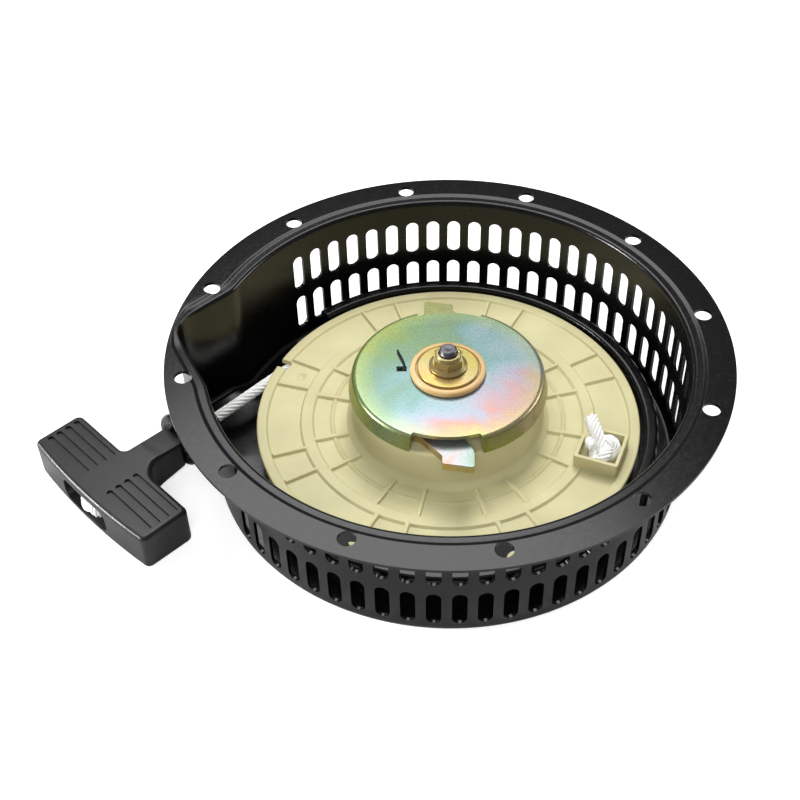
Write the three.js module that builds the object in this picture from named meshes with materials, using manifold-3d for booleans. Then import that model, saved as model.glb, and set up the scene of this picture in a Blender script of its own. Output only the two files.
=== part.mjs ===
// Recoil starter for a small engine, seen from its engine side: a pressed steel bowl holds a rope reel on a
// fixed shaft, two pawls under a friction driven guide, and a pull handle on the rope.
// Millimetres. The origin is on the shaft axis at the outside of the floor, and +Z points to the engine.
import * as THREE from "three";
import { mergeVertices } from "three/addons/utils/BufferGeometryUtils.js";
import Module from "manifold-3d";

const wasm = await Module();
wasm.setup();

// Driving dimensions.
const gap = 0.3;
const sheet = 1.5;
const bowlDepth = 66;
const flangeRadius = 130;
const wallRadius = 111;
const floorChamfer = 4;
const flangeHoles = { count: 12, circle: 121.35, radius: 4, first: 98 };
const slots = { perRow: 50, width: 6.5, length: 20, first: 131.3, pitch: 5.67, centres: [17, 43] };
const rope = { radius: 2.75, turnRadius: 83.6, reelHeight: 15.4, handleHeight: 12.6 };
const pullAngle = 223.05;
const reelSize = { rim: 92.2, rimTop: 21, web: 19.6, boss: 45.6, bossTop: 40 };
const anchorBox = { angle: -22.5, near: 65.5, far: 86.5, halfWidth: 11, top: 27.5, wall: 1.8 };
const guide = { topRadius: 42.5, skirtRadius: 47, top: 49.2, bottom: 40.8, hole: 9.4 };
const guideWindow = { from: -114.4, to: -72.4, innerRadius: 43.3 };
const pawl = { pivot: [-24, -26], bottom: 40.3, top: 44.5, bore: 2.6 };
const bushing = { start: 80, lip: 97, end: 101, neckRadius: 9.5, lipRadius: 14.1, bore: 5.4, height: 14.6 };
const handle = { centre: 139, length: 87, halfWidth: 13, bulge: 5.2, bottom: 0.4, top: 21, start: 101.4 };

const radians = THREE.MathUtils.degToRad;

const finishes = {
  blackPaint: new THREE.MeshStandardMaterial({ color: 0x151619, roughness: 0.3, metalness: 0.2 }),
  blackNylon: new THREE.MeshStandardMaterial({ color: 0x101012, roughness: 0.25, metalness: 0 }),
  ivoryPlastic: new THREE.MeshStandardMaterial({ color: 0xe0dab2, roughness: 0.45, metalness: 0 }),
  yellowZinc: new THREE.MeshStandardMaterial({ color: 0xb9c39a, roughness: 0.3, metalness: 0.9 }),
  steel: new THREE.MeshStandardMaterial({ color: 0x8c8e92, roughness: 0.35, metalness: 0.95 }),
  bronze: new THREE.MeshStandardMaterial({ color: 0x9c7440, roughness: 0.4, metalness: 0.9 }),
  springSteel: new THREE.MeshStandardMaterial({ color: 0x3c4350, roughness: 0.35, metalness: 0.9 }),
  amberNylon: new THREE.MeshStandardMaterial({ color: 0xd8ac6a, roughness: 0.4, metalness: 0 }),
  whiteRope: new THREE.MeshStandardMaterial({ color: 0xe6e6e2, roughness: 0.8, metalness: 0 }),
  handlePlastic: new THREE.MeshStandardMaterial({ color: 0x2b2b2d, roughness: 0.6, metalness: 0 }),
};

const starter = new THREE.Group();

// A closed geometry becomes a solid that can be joined and cut.
function solidOf(geometry) {
  const bare = geometry.clone();
  bare.deleteAttribute("normal");
  bare.deleteAttribute("uv");
  const merged = mergeVertices(bare, 1e-4);
  const triVerts = new Uint32Array(merged.index.array);
  const vertProperties = new Float32Array(merged.attributes.position.array);
  return new wasm.Manifold(new wasm.Mesh({ numProp: 3, vertProperties, triVerts }));
}

function geometryOf(solid) {
  const mesh = solid.getMesh();
  const geometry = new THREE.BufferGeometry();
  geometry.setAttribute("position", new THREE.BufferAttribute(mesh.vertProperties, 3));
  geometry.setIndex(new THREE.BufferAttribute(mesh.triVerts, 1));
  geometry.computeVertexNormals();
  return geometry;
}

function addPart(name, solid, finish) {
  const mesh = new THREE.Mesh(geometryOf(solid), finish);
  mesh.name = name;
  starter.add(mesh);
}

// Every shape below is upright: outlines lie in the XY plane and are raised from low to high.
function raised(outline, low, high, curveSegments = 12) {
  const geometry = new THREE.ExtrudeGeometry(outline, {
    depth: high - low,
    bevelEnabled: false,
    curveSegments,
  });
  return solidOf(geometry.translate(0, 0, low));
}

function polygon(points) {
  return new THREE.Shape(points.map(([x, y]) => new THREE.Vector2(x, y)));
}

function disc(radius, low, high, segments = 24, x = 0, y = 0) {
  const geometry = new THREE.CylinderGeometry(radius, radius, high - low, segments);
  geometry.rotateX(Math.PI / 2);
  return solidOf(geometry.translate(x, y, (low + high) / 2));
}

function ring(outer, inner, low, high, segments = 24) {
  return disc(outer, low, high, segments).subtract(disc(inner, low - 1, high + 1, segments));
}

// A closed profile of [radius, height] points, listed so that material lies on its left, turned about Z.
function turned(profile, segments) {
  const points = [...profile, profile[0]].map(([r, z]) => new THREE.Vector2(r, z));
  const geometry = new THREE.LatheGeometry(points, segments);
  return solidOf(geometry.rotateX(Math.PI / 2));
}

function block(low, high) {
  const size = high.map((value, i) => value - low[i]);
  const geometry = new THREE.BoxGeometry(...size);
  return solidOf(geometry.translate(...low.map((value, i) => value + size[i] / 2)));
}

// A bar that lies along a radius of the given angle, between two radii.
function radialBar(angle, from, to, width, low, high) {
  return block([from, -width / 2, low], [to, width / 2, high]).rotate([0, 0, angle]);
}

function sector(from, to, inner, outer, low, high, steps) {
  const at = (angle, radius) => [radius * Math.cos(radians(angle)), radius * Math.sin(radians(angle))];
  const angles = Array.from({ length: steps + 1 }, (_, i) => from + ((to - from) * i) / steps);
  const outside = angles.map((angle) => at(angle, outer));
  const inside = angles.map((angle) => at(angle, inner)).reverse();
  return raised(polygon([...outside, ...inside]), low, high);
}

// A convex outline, counter-clockwise, moved outwards by a distance on every side.
function outset(points, distance) {
  const count = points.length;
  const sides = points.map(([x, y], i) => {
    const [nextX, nextY] = points[(i + 1) % count];
    const length = Math.hypot(nextX - x, nextY - y);
    const normal = [(nextY - y) / length, (x - nextX) / length];
    return { normal, offset: normal[0] * x + normal[1] * y + distance };
  });
  return sides.map((side, i) => {
    const before = sides[(i + count - 1) % count];
    const cross = before.normal[0] * side.normal[1] - before.normal[1] * side.normal[0];
    const x = (before.offset * side.normal[1] - side.offset * before.normal[1]) / cross;
    const y = (before.normal[0] * side.offset - side.normal[0] * before.offset) / cross;
    return [x, y];
  });
}

function tube(points, radius, sides, steps) {
  const path = new THREE.CatmullRomCurve3(points.map((point) => new THREE.Vector3(...point)));
  const section = polygon(
    Array.from({ length: sides }, (_, i) => {
      const angle = (2 * Math.PI * i) / sides;
      return [radius * Math.cos(angle), radius * Math.sin(angle)];
    }),
  );
  return solidOf(new THREE.ExtrudeGeometry(section, { steps, bevelEnabled: false, extrudePath: path }));
}

// The rope leaves the reel on a tangent, so distances along the pull start at the tangent's foot.
const footAngle = radians(pullAngle - 90);
function onPull(distance, height, side = 0) {
  const along = radians(pullAngle);
  const x = rope.turnRadius * Math.cos(footAngle) + distance * Math.cos(along);
  const y = rope.turnRadius * Math.sin(footAngle) + distance * Math.sin(along);
  return [x - side * Math.sin(along), y + side * Math.cos(along), height];
}

// Solids made along +X about the X axis are laid along the pull line.
function alongPull(solid, height) {
  return solid.rotate([0, 0, pullAngle]).translate(onPull(0, height));
}

function tubeAlongX(radius, from, to, segments) {
  const geometry = new THREE.CylinderGeometry(radius, radius, to - from, segments);
  geometry.rotateZ(Math.PI / 2);
  return solidOf(geometry.translate((from + to) / 2, 0, 0));
}

// Housing: bowl with a pocket for the rope, a flange with bolt holes, and two rows of air slots.
const pocket = [
  [-81.8, 63.2],
  [-121, 27],
  [-125.5, 20.5],
  [-126.3, 14.5],
  [-104.5, -30.5],
];

function bowlSolid(radius, floor, chamfer, top) {
  const profile = [
    [0, floor],
    [radius - chamfer, floor],
    [radius, floor + chamfer],
    [radius, top],
    [0, top],
  ];
  return turned(profile, 72);
}

function airSlot(angle, height) {
  const half = slots.width / 2;
  const end = slots.length / 2;
  const outline = polygon([
    [end, 0],
    [end - half, half],
    [half - end, half],
    [-end, 0],
    [half - end, -half],
    [end - half, -half],
  ]);
  const geometry = new THREE.ExtrudeGeometry(outline, { depth: 8, bevelEnabled: false });
  geometry.rotateY(Math.PI / 2).translate(wallRadius - 3, 0, height);
  return solidOf(geometry.rotateZ(radians(angle)));
}

function housingShell() {
  const outside = bowlSolid(wallRadius + sheet, 0, floorChamfer, bowlDepth)
    .add(raised(polygon(outset(pocket, sheet)), floorChamfer, bowlDepth))
    .add(disc(flangeRadius, bowlDepth - sheet, bowlDepth, 72));
  const inside = bowlSolid(wallRadius, sheet, floorChamfer - 0.6, bowlDepth + 1).add(
    raised(polygon(pocket), floorChamfer + sheet, bowlDepth + 1),
  );
  let shell = outside.subtract(inside);
  for (let i = 0; i < flangeHoles.count; i += 1) {
    const angle = radians(flangeHoles.first + (360 / flangeHoles.count) * i);
    const x = flangeHoles.circle * Math.cos(angle);
    const y = flangeHoles.circle * Math.sin(angle);
    shell = shell.subtract(disc(flangeHoles.radius, bowlDepth - 4, bowlDepth + 1, 12, x, y));
  }
  const cutters = slots.centres.flatMap((height) =>
    Array.from({ length: slots.perRow }, (_, i) => airSlot(slots.first - slots.pitch * i, height)),
  );
  const ropeHole = tubeAlongX(bushing.neckRadius + gap, bushing.start - 8, bushing.lip, 20);
  return shell
    .subtract(wasm.Manifold.union(cutters))
    .subtract(alongPull(ropeHole, bushing.height));
}
addPart("housing_shell", housingShell(), finishes.blackPaint);

addPart("rope_guard", sector(129, -150, 94, 101, sheet + gap, 22, 40), finishes.blackPaint);

function ropeBushing() {
  const body = tubeAlongX(bushing.neckRadius, bushing.start, bushing.lip, 20)
    .add(tubeAlongX(bushing.lipRadius, bushing.lip, bushing.end, 20))
    .subtract(tubeAlongX(bushing.bore, bushing.start - 1, bushing.end + 1, 12));
  return alongPull(body, bushing.height);
}
addPart("rope_bushing", ropeBushing(), finishes.blackNylon);

// Centre: fixed shaft, and the stack that its nut clamps on the shoulder.
const shoulder = 45.6;
const studRadius = 4;
const shaftRadius = 6.5;
function centreShaft() {
  return disc(14, sheet + gap, 4.3, 24)
    .add(disc(shaftRadius, 4, shoulder, 48))
    .add(disc(studRadius, shoulder - 1, 63, 16))
    .add(disc(studRadius - 0.7, 62, 64, 16));
}
addPart("center_shaft", centreShaft(), finishes.steel);

const studClearance = studRadius + gap;
addPart("thrust_washer", ring(14, studClearance, shoulder + 0.2, 47.2), finishes.steel);

function frictionBush() {
  return disc(9, 47.5, 50, 24)
    .add(disc(18.8, guide.top + gap, 51.1, 32))
    .subtract(disc(studClearance, 40, 60, 16));
}
addPart("friction_bush", frictionBush(), finishes.amberNylon);

addPart("plain_washer", ring(14.4, studClearance, 51.4, 52.9), finishes.yellowZinc);

function flangeNut() {
  const hexagon = 6;
  const acrossFlats = 13;
  return disc(9, 53.2, 54.6, 24)
    .add(disc(acrossFlats / Math.sqrt(3), 54, 59.6, hexagon))
    .add(disc(5.6, 59, 61.4, 16))
    .subtract(disc(studClearance, 50, 65, 16));
}
addPart("flange_nut", flangeNut(), finishes.yellowZinc);

// Recoil spring: a flat strip coiled in the cavity under the reel, its outer hook on a stud in the floor.
const coil = { inner: 19, outer: 58, turns: 5, thickness: 0.9, low: 5, high: 15, steps: 64 };
function recoilSpring() {
  const edge = (side) =>
    Array.from({ length: coil.steps + 1 }, (_, i) => {
      const share = i / coil.steps;
      const radius = coil.inner + (coil.outer - coil.inner) * share + side * (coil.thickness / 2);
      const angle = 2 * Math.PI * coil.turns * share;
      return [radius * Math.cos(angle), radius * Math.sin(angle)];
    });
  return raised(polygon([...edge(1), ...edge(-1).reverse()]), coil.low, coil.high);
}
addPart("recoil_spring", recoilSpring(), finishes.springSteel);
addPart("spring_anchor", disc(2.2, sheet + gap, 14.5, 12, coil.outer + 3.2, 0), finishes.steel);

// Reel: rope groove outside, spring cavity underneath, boss for the pawls, ribs on the web.
function reelSolid() {
  const profile = [
    [9, 4.8],
    [15, 4.8],
    [15, 37],
    [42.5, 37],
    [42.5, 16],
    [66, 16],
    [66, 4.8],
    [69.5, 4.8],
    [69.5, 9.8],
    [91, 9.8],
    [91, 12.4],
    [70, 12.4],
    [70, 18.3],
    [reelSize.rim, 18.3],
    [reelSize.rim, reelSize.rimTop],
    [87, reelSize.rimTop],
    [87, reelSize.web],
    [71, reelSize.web],
    [71, 20.6],
    [65, 20.6],
    [65, reelSize.web],
    [48.5, reelSize.web],
    [reelSize.boss, 23],
    [reelSize.boss, reelSize.bossTop],
    [12.5, reelSize.bossTop],
    [12.5, 45.3],
    [9, 45.3],
  ];
  const ribLow = reelSize.web - 1;
  let reel = turned(profile, 48);
  for (let eighth = 0; eighth < 8; eighth += 1) {
    const turn = 45 * eighth;
    for (const angle of [-167.3, -149.3]) {
      reel = reel.add(radialBar(angle + turn, 45, 66, 1.8, ribLow, 20.5));
    }
    for (const angle of [-164, -152]) {
      reel = reel.add(radialBar(angle + turn, 70, 88, 1.8, ribLow, 20.5));
    }
  }
  const { angle, near, far, halfWidth, top, wall } = anchorBox;
  const outer = block([near, -halfWidth, ribLow], [far, halfWidth, top]);
  const hollow = block([near + wall, wall - halfWidth, reelSize.web], [far - wall, halfWidth - wall, top + 1]);
  const outlet = block([near - 1, halfWidth - 8, reelSize.web + 2], [near + 7, halfWidth + 1, top + 1]);
  const ropeExit = block([near + 6, -2, 15], [near + 12, 4, top]);
  reel = reel
    .add(outer.rotate([0, 0, angle]))
    .subtract(hollow.add(outlet).add(ropeExit).rotate([0, 0, angle]))
    .subtract(radialBar(154.5, 86.5, 94, 5.5, 18, 22));
  for (const turn of [0, 180]) {
    const hole = disc(2.8, 36, 41, 16, ...pawl.pivot);
    reel = reel.subtract(hole.rotate([0, 0, turn]));
  }
  return reel;
}
addPart("reel", reelSolid(), finishes.ivoryPlastic);
addPart("reel_bushing", ring(8.7, 6.6, 4.8, 45.2, 48), finishes.bronze);

const windingOuter = rope.turnRadius - rope.radius - gap;
const windingLow = rope.reelHeight - rope.radius + 0.2;
const windingHigh = rope.reelHeight + rope.radius - 0.2;
addPart("rope_winding", ring(windingOuter, 70 + gap, windingLow, windingHigh, 48), finishes.whiteRope);

// Rope end in the reel: a knot in the anchor box and the cut tail that lies out of its open corner.
function reelKnot() {
  const knot = solidOf(new THREE.SphereGeometry(7.2, 10, 8)).scale([1, 0.95, 0.62]);
  const tail = tube([[-2, 2, 1.5], [-8, 7, 4], [-12, 13, 6.6]], rope.radius, 6, 4);
  return knot.add(tail).translate([76.3, 0, 25.2]).rotate([0, 0, anchorBox.angle]);
}
addPart("reel_knot", reelKnot(), finishes.whiteRope);

// Ratchet guide: a shallow pressed cup with two windows for the pawls.
function ratchetGuide() {
  const profile = [
    [guide.hole, guide.top - sheet],
    [guide.topRadius - 0.3, guide.top - sheet],
    [43.5, 46.6],
    [guide.skirtRadius - sheet, guide.bottom],
    [guide.skirtRadius, guide.bottom],
    [45, 47.1],
    [44.2, 48.6],
    [guide.topRadius, guide.top],
    [guide.hole, guide.top],
  ];
  let cup = turned(profile, 48);
  for (const turn of [0, 180]) {
    const { from, to, innerRadius } = guideWindow;
    cup = cup.subtract(sector(from + turn, to + turn, innerRadius, 50, 39, 50, 8));
  }
  return cup.subtract(block([-24, 1.2, 47], [-19.4, 4.6, 50]));
}
addPart("ratchet_guide", ratchetGuide(), finishes.yellowZinc);

// Friction spring: a wire ring round the thrust washer, one end up through the guide's slot and along its top.
function frictionSpring() {
  const turn = Array.from({ length: 14 }, (_, i) => {
    const angle = radians(186 - 24 * i);
    return [15.4 * Math.cos(angle), 15.4 * Math.sin(angle), 46.6];
  });
  const end = [[-18, -5, 46.6], [-21, 0.5, 46.6], [-21.8, 2.8, 48.4], [-21.9, 4.5, 50.2], [-23.4, 14.6, 50.2]];
  return tube([...turn, ...end], 0.6, 5, 34);
}
addPart("friction_spring", frictionSpring(), finishes.springSteel);

// Pawls with their rivets and return springs, a pair placed half a turn apart.
const pawlOutline = [
  [-25.5, -31.2],
  [-19, -35.1],
  [-13.6, -37.4],
  [-4.6, -49.1],
  [-4.8, -53.6],
  [9.3, -56.5],
  [9.8, -48.1],
  [8.9, -44.5],
  [6.5, -40.8],
  [-1.5, -33],
  [-12, -24],
  [-21, -21.4],
];
function pawlSolid() {
  return raised(polygon(pawlOutline), pawl.bottom, pawl.top)
    .add(disc(5.3, pawl.bottom, pawl.top, 20, ...pawl.pivot))
    .subtract(disc(pawl.bore, 39, 46, 20, ...pawl.pivot));
}

function pawlRivet() {
  const [x, y] = pawl.pivot;
  return disc(2.5, 35.4, 47.3, 20, x, y)
    .add(disc(4, 35.2, 36.7, 16, x, y))
    .add(disc(3.6, 46.4, 47.4, 16, x, y));
}

function pawlSpring() {
  const [x, y] = pawl.pivot;
  const turn = Array.from({ length: 12 }, (_, i) => {
    const angle = radians(20 + 27 * i);
    return [x + 3.9 * Math.cos(angle), y + 3.9 * Math.sin(angle), 45.4];
  });
  return tube([...turn, [x + 10, y - 2, 45.4], [x + 15, y - 5, 45.4]], 0.5, 5, 18);
}
for (const [name, turn] of [["front", 0], ["rear", 180]]) {
  addPart(`pawl_${name}`, pawlSolid().rotate([0, 0, turn]), finishes.yellowZinc);
  addPart(`pawl_rivet_${name}`, pawlRivet().rotate([0, 0, turn]), finishes.steel);
  addPart(`pawl_spring_${name}`, pawlSpring().rotate([0, 0, turn]), finishes.springSteel);
}

// Pull handle: a T bar with grip grooves, a stem that meets the bushing, and a window for the knot.
function handleBar() {
  const half = handle.length / 2;
  const outline = new THREE.Shape();
  const chamfer = 1.2;
  outline.moveTo(-handle.halfWidth, -half + chamfer);
  outline.lineTo(chamfer - handle.halfWidth, -half);
  outline.lineTo(handle.halfWidth - chamfer, -half);
  outline.lineTo(handle.halfWidth, -half + chamfer);
  outline.quadraticCurveTo(handle.halfWidth + handle.bulge, 0, handle.halfWidth, half - chamfer);
  outline.lineTo(handle.halfWidth - chamfer, half);
  outline.lineTo(chamfer - handle.halfWidth, half);
  outline.lineTo(-handle.halfWidth, half - chamfer);
  return raised(outline, handle.bottom, handle.top, 8).translate([handle.centre, 0, 0]);
}

function handleStem() {
  const from = handle.start;
  const to = handle.centre - handle.halfWidth + 1;
  const width = 14;
  const side = polygon([
    [from, 5.6],
    [to, handle.bottom + 1],
    [to, handle.top],
    [from + 12, 20.6],
    [from, 20],
  ]);
  const geometry = new THREE.ExtrudeGeometry(side, { depth: width, bevelEnabled: false });
  geometry.translate(0, 0, -width / 2).rotateX(Math.PI / 2);
  return solidOf(geometry);
}

const windowDepth = 19.7;
const knotCentre = handle.centre + 7;
function handleGrip() {
  let grip = handleBar().add(handleStem());
  const outer = handle.centre + handle.halfWidth + handle.bulge;
  grip = grip.subtract(block([outer - windowDepth, -16, 6], [outer + 1, 16, 16]));
  for (const side of [-1, 1]) {
    for (const row of [-8.2, -3.3, 1.6, 6.5]) {
      const ends = [side * 8, side * 40.5].sort((a, b) => a - b);
      const across = handle.centre + row;
      grip = grip.subtract(block([across - 1.3, ends[0], handle.top - 0.8], [across + 1.3, ends[1], 22]));
    }
  }
  const bore = tubeAlongX(rope.radius + gap, handle.start - 1, outer - windowDepth + 1, 12);
  return grip.subtract(bore.translate([0, 0, rope.handleHeight])).rotate([0, 0, pullAngle]);
}
const handlePlace = onPull(0, 0);
addPart("handle_grip", handleGrip().translate(handlePlace), finishes.handlePlastic);

// Rope: the free stretch from the reel to the handle, the end inside the stem, and the knot that holds it.
const leadEnd = handle.start + 4;
const leadRoute = [0, 20, 40, 60, 80, 92, leadEnd].map((distance) => {
  const drop = Math.max(0, distance - 40) / (leadEnd - 40);
  return onPull(distance, rope.reelHeight + (rope.handleHeight - rope.reelHeight) * drop);
});
addPart("rope_lead", tube(leadRoute, rope.radius, 8, 16), finishes.whiteRope);

const stemRope = [leadEnd + gap, 118, 134].map((distance) => onPull(distance, rope.handleHeight));
addPart("rope_in_handle", tube(stemRope, rope.radius - 0.1, 8, 6), finishes.whiteRope);

function handleKnot() {
  const knot = solidOf(new THREE.SphereGeometry(7, 10, 8)).scale([0.9, 1, 0.66]);
  return alongPull(knot.translate([knotCentre, 0, 0]), 11);
}
addPart("handle_knot", handleKnot(), finishes.whiteRope);

export default starter;
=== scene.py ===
# Recoil starter: the looks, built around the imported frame. Lengths in the dictionaries are millimetres.
import math

import bmesh
import bpy
from mathutils import Matrix, Vector


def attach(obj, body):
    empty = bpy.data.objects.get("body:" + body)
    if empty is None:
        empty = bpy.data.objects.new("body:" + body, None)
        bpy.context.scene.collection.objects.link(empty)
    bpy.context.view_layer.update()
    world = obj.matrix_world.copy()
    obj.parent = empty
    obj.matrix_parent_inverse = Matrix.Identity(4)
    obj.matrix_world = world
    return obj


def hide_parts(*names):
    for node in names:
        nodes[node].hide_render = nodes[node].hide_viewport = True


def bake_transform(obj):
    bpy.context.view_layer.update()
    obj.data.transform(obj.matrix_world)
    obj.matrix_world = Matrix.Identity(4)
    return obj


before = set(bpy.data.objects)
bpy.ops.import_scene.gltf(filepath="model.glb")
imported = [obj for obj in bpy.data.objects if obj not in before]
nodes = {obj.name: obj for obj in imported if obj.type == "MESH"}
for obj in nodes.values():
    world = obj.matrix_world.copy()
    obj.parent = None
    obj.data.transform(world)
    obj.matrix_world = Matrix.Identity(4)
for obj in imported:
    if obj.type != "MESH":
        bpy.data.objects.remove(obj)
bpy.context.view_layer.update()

scene = bpy.context.scene
scene.view_settings.view_transform = "Standard"
mm = 0.001
print("frame loaded:", len(nodes), "nodes")


# Camera, lights and floor

view = {
    "place": (-22.8, -444.2, 471.4),
    "elevation": 44.73,  # degrees below the horizon that the camera looks
    "roll": -1.43,
    "lens": 58.9,
}


def makeCamera():
    camera = bpy.data.objects.new("camera", bpy.data.cameras.new("camera"))
    scene.collection.objects.link(camera)
    camera.data.lens = view["lens"]
    tilt = Matrix.Rotation(math.radians(90 - view["elevation"]), 4, "X")
    roll = Matrix.Rotation(math.radians(view["roll"]), 4, "Z")
    camera.matrix_world = Matrix.Translation(Vector(view["place"]) * mm) @ tilt @ roll
    camera.data.clip_start = 0.01
    camera.data.clip_end = 50
    scene.camera = camera


lighting = {
    "world": 0.2,
    "backdrop": 1.0,
    "floor": 0.6,
    "floorGlow": 0.7,  # added where the camera sees the floor itself
    "floorSize": 6000,
    "floorDrop": 0.3,
}
lamps = {  # place, aimed at, size, power, seen in reflections
    "key": ((150, 700, 1150), (0, 0, 30), 450, 7.5, False),
    "softbox": ((-90, 500, 1080), (0, 0, 30), 850, 8.5, True),
    "left": ((-1000, -80, 320), (-120, 0, 10), 300, 12, True),
    "front": ((-100, -900, 900), (0, 0, 20), 700, 8, False),
    "right": ((900, 250, 350), (0, 0, 30), 400, 2.5, True),
}


def makeStage():
    for name, (spot, target, size, power, reflected) in lamps.items():
        lamp = bpy.data.objects.new(name, bpy.data.lights.new(name, "AREA"))
        scene.collection.objects.link(lamp)
        lamp.data.shape = "DISK"
        lamp.data.size = size * mm
        lamp.data.energy = power
        lamp.visible_glossy = reflected
        lamp.location = Vector(spot) * mm
        aim = (Vector(target) - Vector(spot)).to_track_quat("-Z", "Y")
        lamp.rotation_euler = aim.to_euler()
    world = bpy.data.worlds.new("studio")
    scene.world = world
    world.use_nodes = True
    tree = world.node_tree
    tree.nodes.clear()
    output = tree.nodes.new("ShaderNodeOutputWorld")
    soft = tree.nodes.new("ShaderNodeBackground")
    seen = tree.nodes.new("ShaderNodeBackground")
    mix = tree.nodes.new("ShaderNodeMixShader")
    path = tree.nodes.new("ShaderNodeLightPath")
    soft.inputs["Color"].default_value = (1, 1, 1, 1)
    soft.inputs["Strength"].default_value = lighting["world"]
    seen.inputs["Color"].default_value = (1, 1, 1, 1)
    seen.inputs["Strength"].default_value = lighting["backdrop"]
    tree.links.new(path.outputs["Is Camera Ray"], mix.inputs["Fac"])
    tree.links.new(soft.outputs[0], mix.inputs[1])
    tree.links.new(seen.outputs[0], mix.inputs[2])
    tree.links.new(mix.outputs[0], output.inputs["Surface"])
    bm = bmesh.new()
    bmesh.ops.create_grid(bm, x_segments=4, y_segments=4, size=lighting["floorSize"] * mm)
    mesh = bpy.data.meshes.new("floor")
    bm.to_mesh(mesh)
    bm.free()
    floor = bpy.data.objects.new("floor", mesh)
    floor.location.z = -lighting["floorDrop"] * mm
    scene.collection.objects.link(floor)
    paper = bpy.data.materials.new("palePaper")
    paper.use_nodes = True
    shader = paper.node_tree.nodes["Principled BSDF"]
    shade = lighting["floor"]
    shader.inputs["Base Color"].default_value = (shade, shade, shade, 1)
    shader.inputs["Roughness"].default_value = 0.9
    shader.inputs["Specular IOR Level"].default_value = 0.1
    shader.inputs["Emission Color"].default_value = (1, 1, 1, 1)
    seenFloor = paper.node_tree.nodes.new("ShaderNodeLightPath")
    glow = paper.node_tree.nodes.new("ShaderNodeMath")
    glow.operation = "MULTIPLY"
    glow.inputs[1].default_value = lighting["floorGlow"]
    paper.node_tree.links.new(seenFloor.outputs["Is Camera Ray"], glow.inputs[0])
    paper.node_tree.links.new(glow.outputs[0], shader.inputs["Emission Strength"])
    floor.data.materials.append(paper)


makeCamera()
makeStage()
print("camera, lights and floor")


# Mesh tools


def smoothed(obj, angle=32):
    mesh = obj.data
    mesh.polygons.foreach_set("use_smooth", [True] * len(mesh.polygons))
    mesh.set_sharp_from_angle(angle=math.radians(angle))
    return obj


def meshPiece(name, points, faces, material, angle=32):
    mesh = bpy.data.meshes.new(name)
    mesh.from_pydata([Vector(p) * mm for p in points], [], faces)
    obj = bpy.data.objects.new(name, mesh)
    scene.collection.objects.link(obj)
    mesh.materials.append(material)
    bm = bmesh.new()
    bm.from_mesh(mesh)
    bmesh.ops.remove_doubles(bm, verts=bm.verts, dist=0.004 * mm)
    bmesh.ops.dissolve_degenerate(bm, edges=bm.edges, dist=0.002 * mm)
    bmesh.ops.recalc_face_normals(bm, faces=bm.faces)
    bm.to_mesh(mesh)
    bm.free()
    return smoothed(obj, angle)


def applied(obj, angle=32):
    graph = bpy.context.evaluated_depsgraph_get()
    done = bpy.data.meshes.new_from_object(obj.evaluated_get(graph))
    obj.modifiers.clear()
    old = obj.data
    obj.data = done
    done.name = obj.name
    bpy.data.meshes.remove(old)
    return smoothed(obj, angle)


def bevelled(obj, width, segments=2, limit=40, angle=32):
    modifier = obj.modifiers.new("bevel", "BEVEL")
    modifier.width = width * mm
    modifier.segments = segments
    modifier.limit_method = "ANGLE"
    modifier.angle_limit = math.radians(limit)
    modifier.use_clamp_overlap = True
    return applied(obj, angle)


def joined(name, pieces, material=None):
    bm = bmesh.new()
    for piece in pieces:
        piece.data.transform(piece.matrix_world)
        bm.from_mesh(piece.data)
    mesh = bpy.data.meshes.new(name)
    bm.to_mesh(mesh)
    bm.free()
    kept = material or pieces[0].data.materials[0]
    for piece in pieces:
        bpy.data.objects.remove(piece)
    obj = bpy.data.objects.new(name, mesh)
    scene.collection.objects.link(obj)
    mesh.materials.append(kept)
    return smoothed(obj)


def combine(obj, others, operation):
    tool = joined("tool", others) if len(others) > 1 else others[0]
    modifier = obj.modifiers.new("boolean", "BOOLEAN")
    modifier.operation = operation
    modifier.solver = "MANIFOLD"
    modifier.object = tool
    applied(obj)
    bpy.data.objects.remove(tool)
    return obj


def cut(obj, *cutters):
    return combine(obj, list(cutters), "DIFFERENCE")


def fused(obj, *parts):
    return combine(obj, list(parts), "UNION")


def rounded(points, steps=4, closed=True):
    made = []
    count = len(points)
    for i, (x, y, *fillet) in enumerate(points):
        corner = Vector((x, y))
        size = fillet[0] if fillet else 0
        if size == 0 or (not closed and i in (0, count - 1)):
            made.append((x, y))
            continue
        before = Vector(points[i - 1][:2]) - corner
        after = Vector(points[(i + 1) % count][:2]) - corner
        half = before.angle(after) / 2
        back = min(size / math.tan(half), before.length * 0.49, after.length * 0.49)
        middle = (before.normalized() + after.normalized()).normalized()
        centre = corner + middle * (back / math.cos(half))
        first = corner + before.normalized() * back - centre
        last = corner + after.normalized() * back - centre
        for step in range(steps + 1):
            share = step / steps
            spoke = first.slerp(last, share) * first.length if first.angle(last) > 1e-4 else first
            made.append(tuple(centre + spoke))
    return made


def lathe(name, profile, material, segments=128, angle=32, steps=4):
    outline = rounded(profile, steps)
    count = len(outline)
    points = []
    for turn in range(segments):
        theta = 2 * math.pi * turn / segments
        points += [(r * math.cos(theta), r * math.sin(theta), z) for r, z in outline]
    faces = []
    for turn in range(segments):
        here, there = turn * count, ((turn + 1) % segments) * count
        for i in range(count):
            j = (i + 1) % count
            faces.append((here + i, here + j, there + j, there + i))
    return meshPiece(name, points, faces, material, angle)


def slab(name, outline, low, high, material):
    count = len(outline)
    points = [(x, y, low) for x, y in outline] + [(x, y, high) for x, y in outline]
    faces = [tuple(reversed(range(count))), tuple(range(count, 2 * count))]
    for i in range(count):
        j = (i + 1) % count
        faces.append((i, j, count + j, count + i))
    return meshPiece(name, points, faces, material)


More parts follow.
